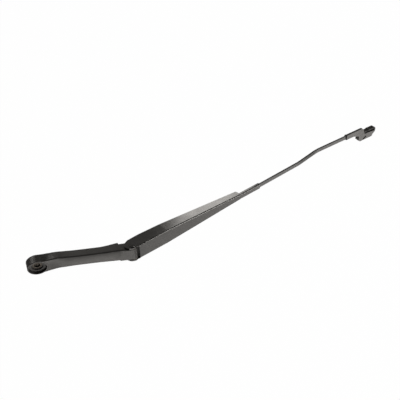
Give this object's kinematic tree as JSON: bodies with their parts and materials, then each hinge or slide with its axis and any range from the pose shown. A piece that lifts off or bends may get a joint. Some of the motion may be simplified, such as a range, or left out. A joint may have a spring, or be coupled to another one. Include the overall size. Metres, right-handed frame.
{
  "type": "wiper arm",
  "caption": "Front wiper arm: boss for the spindle nut on a ribbed head, riveted hinge, folded tapered channel with its spring, flat bent rod and an offset blade connector.",
  "frame": {"origin": "on the spindle bore's axis, at the nut seat in the boss's recess", "axes": "+Z square to the head's top face, +X toward the hinge and the arm, +Y along the hinge axis; the spindle axis leans 15 deg from +Z toward -Y and 8.3 deg toward +X; the arm is folded down toward -Z"},
  "size_m": [0.6106, 0.0355, 0.3029],
  "materials": {
    "head_paint": "satin black",
    "arm_paint": "satin black",
    "rod_paint": "satin black",
    "bracket_paint": "satin black",
    "bush_steel": "turned",
    "pin_steel": "painted with the arm",
    "bush_plastic": "moulded",
    "zinc_steel": "zinc plated",
    "spring_steel": "oiled wire",
    "black_plastic": "fine grain"
  },
  "bodies": {
    "head": {"mounting_head": "head_paint", "spindle_bush": "bush_steel", "spring_anchor_pin": "zinc_steel", "hinge_bushes": "bush_plastic"},
    "arm": {"retainer": "arm_paint", "hinge_pin": "pin_steel", "rod": "rod_paint", "tip_bracket": "bracket_paint", "tip_insert": "black_plastic"},
    "link": {"spring_link": "zinc_steel", "tension_spring": "spring_steel"}
  },
  "joints": [
    {"name": "arm_fold", "type": "hinge", "parent": "head", "child": "arm", "pos_m": [0.141, 0.0021, -0.00104], "axis": [0, -1, 0], "range_deg": [0, 115], "stiffness_Nm_per_rad": 0.5, "springref_deg": -114.59},
    {"name": "link_swing", "type": "hinge", "parent": "head", "child": "link", "pos_m": [0.1395, 0.0021, -0.00904], "axis": [0, -1, 0], "range_deg": [0, 112.5], "deforming": ["tension_spring"]}
  ],
  "couplings": [
    {"joint": "link_swing", "follows": "arm_fold", "ratio": 0.974}
  ]
}
